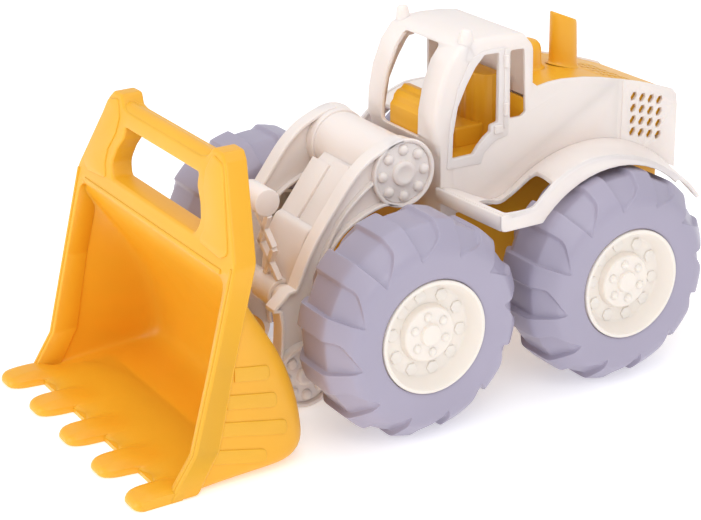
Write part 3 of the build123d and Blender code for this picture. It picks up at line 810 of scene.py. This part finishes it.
QUARTER_WINDOW = [(-88.3, 175.4), (-88.0, 223.8), (-99.8, 223.5), (-101.7, 177.9), (-98.0, 175.4)]
VENT_ROWS = 4
VENT_COLUMNS = 4


def round_long_edges(obj, radius, chosen):
    """Rounds the outline's edges on both side faces where chosen says so."""
    with opened(obj.data) as work:
        flat = max(abs(v.co.y) for v in work.verts)
        edges = []
        for edge in work.edges:
            a, b = (v.co for v in edge.verts)
            if abs(a.y - b.y) < 1e-6 and abs(abs(a.y) - flat) < 1e-6 and chosen((a + b) / 2):
                edges.append(edge)
        bmesh.ops.bevel(work, geom=edges, offset=radius * MM, segments=4, profile=0.5, affect="EDGES")
    return obj


def cab_and_sides():
    """The hollow cab and engine sides, with windows, windscreen, side vents and panel grooves cut out."""
    outline = CAB_FRONT + ROOF + HOOD_EDGE + BODY_FOOT
    shell = solid("shell", outline, -BODY_HALF, BODY_HALF, SIDE, CREAM)
    round_long_edges(shell, 4.2, lambda v: v.x > -60 * MM and v.z > 150 * MM or v.z > 224 * MM)
    cab_room = solid("room", CAB_ROOM, -BODY_INNER, BODY_INNER, SIDE, CREAM)
    round_long_edges(cab_room, 2.4, lambda v: v.z > 160 * MM)
    cutters = [cab_room, solid("room", ENGINE_ROOM, -BODY_INNER, BODY_INNER, SIDE, CREAM)]
    for points, radius in ((DOOR_WINDOW, 1.6), (QUARTER_WINDOW, 2.0)):
        cutters.append(solid("window", rounded(points, radius, 3), -60, 60, SIDE, CREAM))
    screen = rounded([(-23.5, 167.5), (23.5, 167.5), (22.0, 230.4), (-22.0, 230.4)], 3.5)
    cutters.append(solid("screen", screen, -55, 0, FRONT, CREAM))
    for column in range(VENT_COLUMNS):
        for row in range(VENT_ROWS):
            x = -196.5 - 7.9 * column
            z = 146.4 + 8.77 * row - 2.28 * column
            vent = [(x + a - 0.32 * b, z + 1.2 * b) for a, b in circle((0, 0), 2.9, 6)]
            cutters.append(solid("vent", vent, -60, 60, SIDE, CREAM))
    groove = [(-182.6, 190.0), (-187.0, 190.0), (-186.0, 137.0), (-181.6, 137.0)]
    for side in (-1, 1):
        cutters.append(solid("groove", groove, *span(side, 43.3, 45.0), SIDE, CREAM))
    cut(shell, cutters)
    return smooth(soften(shell, 0.55, 32), 36)


# The fender runs from a crease on the body's side out to a lip over the rear wheel. LIP_OUTER
# gives the lip's outer edge as (degrees round the rear axle, radius).
CREASE = [
    (-31.0, 137.0), (-36.0, 136.6), (-44.0, 134.0), (-52.7, 129.0), (-60.0, 123.4),
    (-67.7, 118.8), (-79.0, 118.7),
]
CREASE_CENTRE = (-156.0, 42.7)
CREASE_RADIUS = 105.0
FENDER_Y = 112.0
LIP_OUTER = [
    (43, 91.6), (49, 91.4), (57, 92.0), (65, 91.4), (74, 90.8), (83, 88.2), (91, 86.0),
    (101, 84.0), (110, 82.8), (119, 81.8), (127, 81.6), (134, 82.0),
]
LIP_INNER_RADIUS = 77.5
FLANGE = [  # the fender's front edge: (distance from the middle plane, top, bottom, x of its back)
    (41.5, 137.0, 126.8, -31.0),
    (65.0, 136.8, 126.4, -32.6),
    (90.0, 136.6, 126.0, -34.4),
    (110.6, 136.4, 125.6, -36.2),
]
FENDER_WINDOW = [(-38.5, 79), (-40.0, 107), (-57.5, 108.5), (-77.5, 109), (-99, 59), (-80, 56)]


def fender_sheet(side, lip_arc):
    """The flared sheet from the crease to the lip, with its window."""
    outer = [(-36.5, 136.4), (-43.0, 136.4), (-50.0, 136.6), (-55.3, 137.0), *lip_arc]
    outer += [(-190.5, 131.0), (-198.0, 122.5), (-203.8, 115.0)]
    arch = [CREASE[-1]] + [polar(CREASE_CENTRE, CREASE_RADIUS, degrees) for degrees in range(50, 139, 8)]
    inner = along_path(CREASE, 5)[:-1] + along_path(arch, len(outer) - 4)
    root_y = BODY_HALF - 1.5
    rows = []
    for (x0, z0), (x1, z1) in zip(inner, outer):
        row = []
        for step in range(9):
            t = step / 8
            flare = t + 0.10 * math.sin(math.pi * t)
            y = root_y + (FENDER_Y - root_y) * t
            row.append((x0 + (x1 - x0) * t, side * y, z0 + (z1 - z0) * flare))
        rows.append(row)
    sheet = face_towards(grid("sheet", rows, CREAM), (0, 0, 1))
    subdivide(sheet, 1)
    thicken(sheet, 2.5)
    window = rounded([(x, side * y) for x, y in FENDER_WINDOW], [3, 3, 6, 3, 6, 7])
    cut(sheet, [solid("hole", window, 100, 175, TOP, CREAM)])
    return smooth(soften(sheet, 0.6, 40), 40)


def fender(side):
    lip_arc = [polar(REAR_AXLE, radius, degrees) for degrees, radius in LIP_OUTER]
    sheet = fender_sheet(side, lip_arc)
    lip_inner = [polar(REAR_AXLE, LIP_INNER_RADIUS, degrees) for degrees in range(134, 43, -6)]
    lip_outline = [(-33.8, 136.4), (-55.0, 137.0), *lip_arc, *lip_inner]
    lip_outline += [(-67.5, 124.8), (-38.0, 124.9), (-35.2, 125.6), (-33.8, 128.0)]
    lip = plate("lip", lip_outline, *span(side, FENDER_Y - 2.5, FENDER_Y), SIDE, CREAM, edge=0.8, steps=3)
    rings = []
    for y, top, bottom, x in FLANGE:
        corners = ((x + 2.4, top), (x + 2.4, bottom), (x, bottom), (x, top))
        rings.append([(a, side * y, z) for a, z in corners])
    flange = fill_ends(grid("flange", rings, CREAM, closed_columns=True))
    return join(sheet, [lip, smooth(soften(flange, 0.8, 30), 40)])


def door_details(side):
    """A door's raised outline, its hinge with two knuckles, its handle, and the lamp above it."""
    outline = rounded(DOOR, 2.5, 3)
    window = rounded(DOOR_WINDOW, 1.6, 3)
    details = [plate("door", outline, *span(side, 43.5, 44.7), SIDE, CREAM, edge=0.5, holes=[window])]
    hinge = [(-82.6, 170), (-85.2, 170), (-85.2, 226), (-82.6, 226)]
    details.append(plate("hinge", hinge, *span(side, 44, 45.6), SIDE, CREAM, edge=0.5))
    knuckle = [(-4.6, 0), (-4.6, 1.6), (-4.0, 2.1), (4.0, 2.1), (4.6, 1.6), (4.6, 0)]
    for z in (217.5, 183.5):
        details.append(lathe("knuckle", knuckle, (-84, side * 45.2, z), (0, 0, 1), CREAM, 20))
    handle = rounded([(-74.6, 167), (-81.6, 167), (-81.6, 173.2), (-74.6, 173.2)], 1.2)
    details.append(plate("handle", handle, *span(side, 43.5, 46.2), SIDE, CREAM))
    lamp = [(-3, 0), (-3, 7.4), (0, 7.3), (2.5, 6.6), (8, 5.3), (14, 4.3), (16.4, 3.7), (17.4, 2.6)]
    lamp += [(17.6, 1.4), (17.6, 0)]
    details.append(lathe("lamp", lamp, (-55, side * 37.6, 225.3), (0, side * 0.11, 1), CREAM, 32))
    return details


def body():
    return join(cab_and_sides(), [fender(1), fender(-1), *door_details(1), *door_details(-1)])


finish_piece(body(), "cab_and_fenders", "root", "body_shell")


# ---- boom: two I-section arms, the drum, planks, cross box and cross tube ----
ARM_IN = 38.0
ARM_OUT = 50.0
WEB_IN = 42.0
WEB_OUT = 45.0
CAP_SEAT = 46.0
DRUM_HALF = 34.5
CROSS_TUBE = (76.0, 72.0)
BARREL = (85.0, 140.0)
PIVOT_STUDS = 8
ARM_TOP = [
    (1, 178.8), (9, 177.4), (17, 174.8), (29, 169), (42, 158), (56, 140.5), (66, 127.5),
    (73, 117), (80, 104), (86, 91),
]
ARM_STEP = [(91.5, 90.5), (103.0, 80.5), (103.0, 78.0), (98.7, 77.1)]
ARM_FRONT = [(97.5, 66), (98.5, 52), (101, 38), (102.5, 28)]
ARM_BOTTOM = [
    (6, 132.0), (15, 134.5), (24, 133), (36, 128.5), (48, 121.5), (57, 111), (60, 96),
    (58.5, 78), (58, 60), (58, 44), (57.5, 28),
]
ARM_RIB = [(22, 155), (32, 148.5), (42, 140.5), (51, 131), (59, 119), (66, 105)]
HUB = [
    (34, 16), (34, 21.9), (34.5, 22.4), (CAP_SEAT, 23.2), (48.6, 24.0), (49.5, 23.8),
    (50, 23.2), (50, 22.2), (49.5, 21.4), (48.6, 21.1), (CAP_SEAT, 21.0),
    (CAP_SEAT, BORE_RADIUS), (41.7, BORE_RADIUS), (41.7, 16),
]
DISC = [
    (41.7, BORE_RADIUS), (41.7, 22.6), (42.1, 23), (51.2, 23), (51.8, 22.7), (52, 22.1),
    (52, 21), (51.6, 20.3), (50.6, 20.0), (CAP_SEAT, 20.0), (CAP_SEAT, BORE_RADIUS),
]


def arm(side):
    """One arm: a web between two flanges, a rib on it, and a round seat for a cap at each end."""
    top = flow(ARM_TOP) + ARM_STEP + flow(ARM_FRONT)
    bottom = flow(ARM_BOTTOM)
    rib = ribbon(flow(ARM_RIB), 2.2)
    beside_rod = (BOOM_PIVOT[0] + 8, BOOM_PIVOT[1])
    middle = [*shifted(top, 1.5), *shifted(bottom, -1.3)[::-1], beside_rod]
    flanges = span(side, ARM_IN, ARM_OUT)
    pieces = [
        plate("flange", ribbon(top, 2.8), *flanges, SIDE, CREAM, edge=0.9, steps=3),
        plate("flange", ribbon(bottom, -2.4), *flanges, SIDE, CREAM, edge=0.8),
        plate("rib", rib, *span(side, WEB_IN + 1, ARM_OUT - 1), SIDE, CREAM, edge=0.7),
        centred("hub", HUB + HUB[:1], BOOM_PIVOT, side, CREAM),
        centred("disc", DISC + DISC[:1], BUCKET_PIVOT, side, CREAM),
    ]
    return join(plate("web", middle, *span(side, WEB_IN, WEB_OUT), SIDE, CREAM, edge=0.4), pieces)


def drum():
    """The hollow drum round the boom's pivot, open towards the chassis tongue."""
    wall = [(-DRUM_HALF, 16), (-DRUM_HALF, 21), (DRUM_HALF, 21), (DRUM_HALF, 16), (-DRUM_HALF, 16)]
    slot = [BOOM_PIVOT] + [polar(BOOM_PIVOT, 32, degrees) for degrees in (168, 242, 308)]
    tube = centred("drum", wall, BOOM_PIVOT, 1, CREAM)
    return smooth(cut(tube, [solid("slot", slot, -11.5, 11.5, SIDE, CREAM)]), 35)


def boom():
    pieces = [arm(1), arm(-1)]
    apron = [(15.0, 160.5), (27.5, 151.0), (57.0, 113.8), (54.2, 112.6), (24.0, 149.0)]
    pieces.append(plate("apron", apron, -19.5, 22.0, SIDE, CREAM, edge=0.5))
    left_plank = [(26.6, 156.4), (58.4, 115.6)]
    right_plank = [(29.6, 152.4), (57.6, 116.6)]
    for low, high, path in ((-23.0, -1.4, right_plank), (1.4, 21.0, left_plank)):
        pieces.append(plate("plank", ribbon(path, 3.4), low, high, SIDE, CREAM, edge=0.7))
    box = flow([(55, 119.5), (60.8, 117.2), (66.5, 106.5), (70.8, 94), (73, 80)])
    box += [(70, 74), (60, 74), (54, 98)]
    pieces.append(plate("box", box, -22.5, 22.5, SIDE, CREAM, edge=1.0))
    tube = [(-43, 3), (-43, 8), (43, 8), (43, 3), (-43, 3)]
    pieces.append(centred("tube", tube, CROSS_TUBE, 1, CREAM, 48))
    return join(drum(), pieces)


def pivot_cap(centre, side, radius, face, stud_circle, boss):
    """A cap with ball studs round a dimpled boss."""
    back = CAP_SEAT + 0.05
    rim_radius = radius - 0.1
    profile = [(back, 0), (back, rim_radius), (face - 0.5, rim_radius), (face, radius - 0.7)]
    profile += [(face, boss + 1.0), (face + 0.4, boss + 0.2), (face + 1.9, boss - 0.2)]
    profile += [(face + 2.6, boss - 1.2), (face + 2.8, boss - 2.4), (face + 2.5, boss - 3.6)]
    profile += [(face + 1.9, boss - 5.0), (face + 1.7, 0)]
    studs = []
    for k in range(PIVOT_STUDS):
        x, z = polar(centre, stud_circle, k * 360 / PIVOT_STUDS)
        studs.append(dome("stud", (x, side * face, z), 3.7, 3.1, (0, side, 0), CREAM))
    return join(centred("cap", profile, centre, side, CREAM), studs)


def tilt_link():
    """The barrel on its lattice of crossed struts, clipped round the cross tube."""
    barrel = [(-13, 0), (-13, 8.6), (-12.7, 9.2), (-12, 9.5), (12, 9.5), (12.7, 9.2), (13, 8.6), (13, 0)]
    piece = centred("barrel", barrel, BARREL, 1, CREAM, 64)
    direction = Vector((BARREL[0] - CROSS_TUBE[0], 0, BARREL[1] - CROSS_TUBE[1])).normalized()
    across = Vector((0, 1, 0))
    normal = across.cross(direction)
    plane = Matrix((across, direction, normal)).transposed().to_4x4()
    plane.translation = Vector((CROSS_TUBE[0], 0, CROSS_TUBE[1])) * MM
    ring = [(-12, 8.3), (-12, 10.4), (-11.4, 11), (11.4, 11), (12, 10.4), (12, 8.3), (-12, 8.3)]
    pieces = [centred("ring", ring, CROSS_TUBE, 1, CREAM, 48)]
    for start, end in ((9.5, 36.0), (34.0, 61.0)):
        for half in (9.6, -9.6):
            strut = ribbon([(-half, start), (half, end)], 4.6)
            pieces.append(plate("strut", strut, -2.2, 2.2, plane, CREAM, edge=0.9))
    return join(piece, pieces)


finish_piece(boom(), "ribbed_boom", "boom", "boom")
finish_piece(tilt_link(), "lattice_link", "boom", "tilt_link")
for side_name, side in SIDES:
    for end, cap in (
        ("boom", pivot_cap(BOOM_PIVOT, side, 21.0, 48.0, 16.2, 8.7)),
        ("bucket", pivot_cap(BUCKET_PIVOT, side, 20.0, 49.0, 14.6, 7.2)),
    ):
        node = f"{end}_pivot_cap_{side_name}"
        finish_piece(cap, f"studded_{end}_cap_{side_name}", "boom", node)


# ---- engine cover, exhaust, air cleaner ----
COVER_LINE = [
    (-109.8, 193.2), (-122, 194.6), (-133, 195), (-152, 193.2), (-168, 190.2), (-185, 186),
    (-202, 181.4), (-219, 175.6), (-234.2, 170),
]
SLOT_ROWS = 5
SLOT_COLUMNS = 5
EXHAUST_X = -166.0
CLEANER_X = -132.0


def engine_cover():
    """The slotted cover, with a lining plate on each side behind the body's vents."""
    sheet = solid("cover", ribbon(flow(COVER_LINE, 3), -3.0), -41.2, 41.2, SIDE, YELLOW)
    cutters = []
    for row in range(SLOT_ROWS):
        for column in range(SLOT_COLUMNS):
            x = -183.5 - 4.2 * column
            y = -12.0 + 12.0 * row + 1.4 * column
            slot = [(x + 1.1, y - 4.0), (x + 1.1, y + 2.6), (x - 1.1, y + 4.0), (x - 1.1, y - 2.6)]
            cutters.append(solid("slot", slot, 150, 200, TOP, YELLOW))
    soften(cut(sheet, cutters), 0.3, 40)
    lining = [(-190.0, 138.0), (-190.0, 181.0), (-219.0, 172.0), (-233.0, 166.0), (-233.0, 138.0)]
    linings = []
    for _, side in SIDES:
        linings.append(plate("lining", lining, *span(side, 38.2, 40.6), SIDE, YELLOW, edge=0.4))
    return join(smooth(sheet, 30), linings)


def cover_height(x):
    """The engine cover's top surface at this place."""
    for (x0, z0), (x1, z1) in zip(COVER_LINE, COVER_LINE[1:]):
        if x >= x1:
            break
    return z0 + (z1 - z0) * (x - x0) / (x1 - x0)


def exhaust_pipe():
    """An upright oval tube with a flared foot and a slanted, hollow top."""
    foot = cover_height(EXHAUST_X)
    # (height, half length, half width, slant, forward lean), up the outside and down the bore
    levels = [
        (foot + 0.05, 13.4, 10.6, 0.24, 0.0),
        (foot + 0.9, 12.2, 9.5, 0.22, 0.0),
        (foot + 2.4, 11.4, 8.8, 0.15, 0.0),
        (foot + 5.0, 11.0, 8.5, 0.05, 0.0),
        (200.0, 10.9, 8.4, 0.0, 0.0),
        (212.0, 10.7, 8.2, 0.2, 0.1),
        (223.5, 10.5, 8.0, 0.42, 0.3),
        (226.0, 10.4, 7.9, 0.43, 0.4),
        (226.9, 10.1, 7.6, 0.43, 0.4),
        (227.3, 9.4, 6.9, 0.43, 0.4),
        (227.1, 8.7, 6.2, 0.43, 0.4),
        (225.5, 8.3, 5.8, 0.42, 0.4),
        (210.0, 8.3, 5.8, 0.1, 0.2),
        (201.0, 8.3, 5.8, 0.0, 0.0),
        (200.0, 7.0, 4.8, 0.0, 0.0),
        (200.0, 0.01, 0.01, 0.0, 0.0),
    ]
    rows = []
    for height, half_x, half_y, slant, shift in levels:
        ring = []
        for k in range(48):
            angle = 2 * math.pi * k / 48
            x = half_x * math.cos(angle)
            ring.append((EXHAUST_X + shift + x, half_y * math.sin(angle), height + slant * x))
        rows.append(ring)
    return smooth(grid("exhaust", rows, YELLOW, closed_columns=True), 40)


def cleaner():
    """The domed pot in front of the exhaust."""
    profile = [(-0.2, 14.6), (0.6, 13.2), (2.0, 12.3), (4.0, 12.0), (13.0, 11.8), (16.2, 11.0), (18.6, 9.0)]
    profile += [(19.8, 6.0), (20.2, 3.0), (20.3, 0)]
    return lathe("cleaner", profile, (CLEANER_X, 0, cover_height(CLEANER_X)), (0, 0, 1), YELLOW, 64)


finish_piece(engine_cover(), "louvred_cover", "root", "engine_hood")
finish_piece(exhaust_pipe(), "slant_exhaust", "root", "exhaust_stack")
finish_piece(cleaner(), "domed_cleaner", "root", "air_cleaner")


# ---- cab: dash, floor, bulkhead and ribbed seat ----
FLOOR_TOP = 151.0
DASH = [
    (-46, 151), (-46, 176.5), (-48.5, 178), (-50.4, 181), (-50.4, 189), (-47.6, 192.4),
    (-43, 193), (-40.5, 190.4), (-37.5, 189.6), (-34.6, 186.6), (-33.8, 183.2), (-31.4, 180.6),
    (-31.2, 167), (-34.3, 158.2), (-34.3, 151),
]
SEAT_RIBS = 6
SEAT_HALF = 21.0


def interior():
    """The cab's floor, its rear wall, and the dash with its fins."""
    sheet = [(-104.1, -41.3), (-34.5, -41.3), (-34.5, 41.3), (-104.1, 41.3)]
    floor = plate("floor", sheet, 149.0, 152.0, TOP, YELLOW, edge=0.5)
    wall = rounded([(-41.3, 151), (-41.3, 186.8), (41.3, 186.8), (41.3, 151)], [0, 3, 3, 0])
    pieces = [plate("bulkhead", wall, -104.3, -101.5, FRONT, YELLOW)]
    pieces.append(plate("dash", rounded(DASH, 1.2, 3), -19.8, 19.8, SIDE, YELLOW, edge=1.0, steps=3))
    for y in (-12, -4, 4, 12):
        fin = ribbon([(-45.9, 160), (-45.9, 174)], -1.1)
        pieces.append(plate("fin", fin, y - 1.4, y + 1.4, SIDE, YELLOW, edge=0.4))
    return join(floor, pieces)


def ribbed_seat():
    """A fluted, curved seat back standing on a rounded cushion."""
    front = []
    for rib in range(SEAT_RIBS):
        for k in range(5):
            y = -SEAT_HALF + 2 * SEAT_HALF * (rib + k / 4) / SEAT_RIBS
            bulge = 0.9 * math.sin(math.pi * k / 4)
            front.append((-80.5 - 9.0 * (y / SEAT_HALF) ** 2 + bulge, y))
    outline = front + [(-97.0, SEAT_HALF), (-97.0, -SEAT_HALF)]
    back = plate("back", outline, FLOOR_TOP, 203.0, TOP, YELLOW, edge=0.8, steps=3)
    for vertex in back.data.vertices:
        if vertex.co.z > 180 * MM:
            vertex.co.z -= 0.10 * abs(vertex.co.y) + 0.15 * (vertex.co.x + 90 * MM)
    cushion = rounded([(-86, -17), (-62, -17), (-60, -12), (-60, 12), (-62, 17), (-86, 17)], 2.5)
    return join(back, [plate("cushion", cushion, FLOOR_TOP, 166.0, TOP, YELLOW, edge=1.8, steps=3)])


finish_piece(interior(), "stepped_dash_and_floor", "root", "cab_interior")
finish_piece(ribbed_seat(), "fluted_seat", "root", "seat")


# ---- chassis, with its moulded edges rounded ----
def softened_chassis():
    """A copy of the CAD chassis, with its flat faces merged and its edges rounded."""
    mesh = frame["nodes"]["chassis_frame"].data.copy()
    chassis = link("chassis", mesh, YELLOW)
    with opened(mesh) as work:
        bmesh.ops.remove_doubles(work, verts=work.verts, dist=1e-6)
        bmesh.ops.dissolve_limit(work, angle_limit=math.radians(1.5), verts=work.verts, edges=work.edges)
    return smooth(soften(chassis, 0.7, 40), 40)


finish_piece(softened_chassis(), "soft_edged_chassis", "root", "chassis_frame")


# ---- CAD pieces that keep their shape ----
KEPT = [
    "body_screws",
    "boom_pivot_rod",
    "bucket_pivot_rod",
    "front_axle",
    "rear_axle",
    "front_push_nuts",
    "rear_push_nuts",
]
for node in KEPT:
    frame["nodes"][node].data.materials.clear()
    frame["nodes"][node].data.materials.append(STEEL)


# ---- stage, light and camera ----
def stage():
    """A wide pale floor."""
    material, _, shader = principled("pale_floor")
    shader.inputs["Base Color"].default_value = (0.9, 0.9, 0.91, 1)
    shader.inputs["Roughness"].default_value = 0.9
    shader.inputs["Emission Color"].default_value = (1.0, 1.0, 1.0, 1)
    shader.inputs["Emission Strength"].default_value = 0.38
    half = 4000
    corners = [(-half, -half, 0), (half, -half, 0), (half, half, 0), (-half, half, 0)]
    mesh_piece("floor", corners, [(0, 1, 2, 3)], material)


def area_light(name, place, target, size, power):
    """A square light, its size in metres and its power in watts."""
    light = bpy.data.lights.new(name, "AREA")
    light.size = size
    light.energy = power
    obj = bpy.data.objects.new(name, light)
    obj.location = Vector(place) * MM
    direction = Vector(target) * MM - obj.location
    obj.rotation_euler = direction.to_track_quat("-Z", "Y").to_euler()
    bpy.context.scene.collection.objects.link(obj)


def camera():
    data = bpy.data.cameras.new("camera")
    data.lens = 97.06
    data.sensor_width = 36.0
    obj = bpy.data.objects.new("camera", data)
    place = Vector((637.1, 1048.7, 572.2))
    target = Vector((94.0, 134.0, 142.4))
    aim = (target - place).to_track_quat("-Z", "Y").to_matrix().to_4x4()
    roll = Matrix.Rotation(math.radians(-1.1), 4, "Z")
    obj.matrix_world = Matrix.Translation(place * MM) @ aim @ roll
    bpy.context.scene.collection.objects.link(obj)
    bpy.context.scene.camera = obj


def world():
    sky = bpy.data.worlds.new("studio")
    sky.use_nodes = True
    sky.node_tree.nodes["Background"].inputs["Color"].default_value = (0.96, 0.97, 1.0, 1)
    sky.node_tree.nodes["Background"].inputs["Strength"].default_value = 0.74
    bpy.context.scene.world = sky


stage()
world()
camera()
area_light("key", (500, 1300, 1500), (0, 0, 100), 1.2, 9)
area_light("left_fill", (1500, -150, 450), (0, 0, 100), 1.0, 6)
area_light("top", (-200, 0, 1600), (0, 0, 0), 1.6, 6)
bpy.context.scene.view_settings.view_transform = "Standard"
